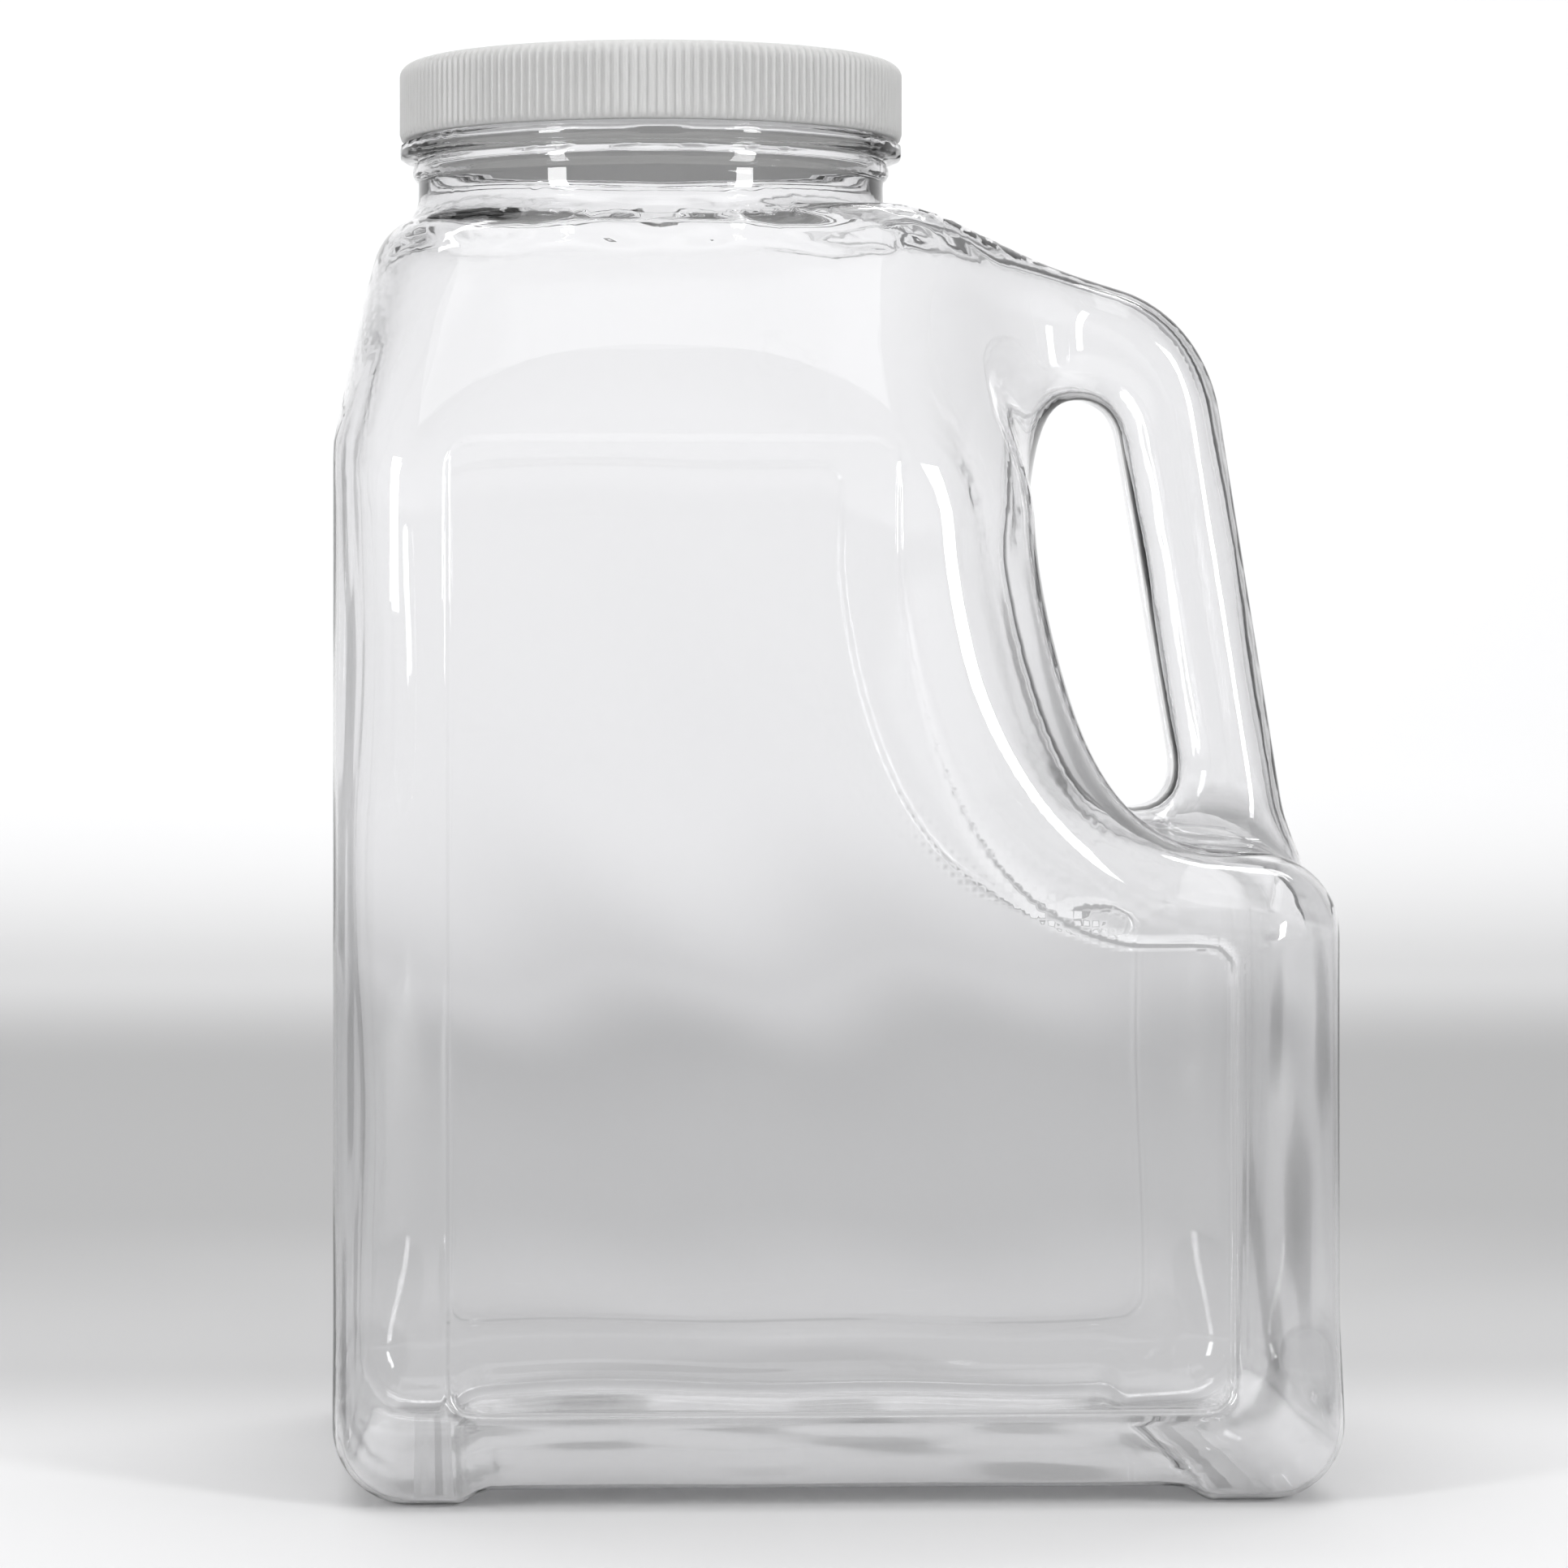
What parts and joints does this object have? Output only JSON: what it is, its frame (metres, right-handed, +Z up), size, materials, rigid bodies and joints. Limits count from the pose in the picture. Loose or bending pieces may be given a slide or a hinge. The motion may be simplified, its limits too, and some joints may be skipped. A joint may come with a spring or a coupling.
{
  "type": "handled jug",
  "caption": "Clear rectangular blow-moulded jug with a hollow side handle, recessed label panels, a wide ringed neck and a ribbed screw cap.",
  "frame": {"origin": "bottom centre of the jug's box, on the plane its feet stand on", "axes": "+Z up, +X towards the handle, -Y towards the label panel that faces the viewer"},
  "size_m": [0.174, 0.132, 0.252],
  "materials": {
    "clear_plastic": "clear, glossy, slightly wavy blow-moulded wall",
    "cap_plastic": "light grey satin moulded plastic with fine upright ribs"
  },
  "bodies": {
    "root": {"bottle": "clear_plastic", "cap": "cap_plastic"}
  },
  "joints": []
}
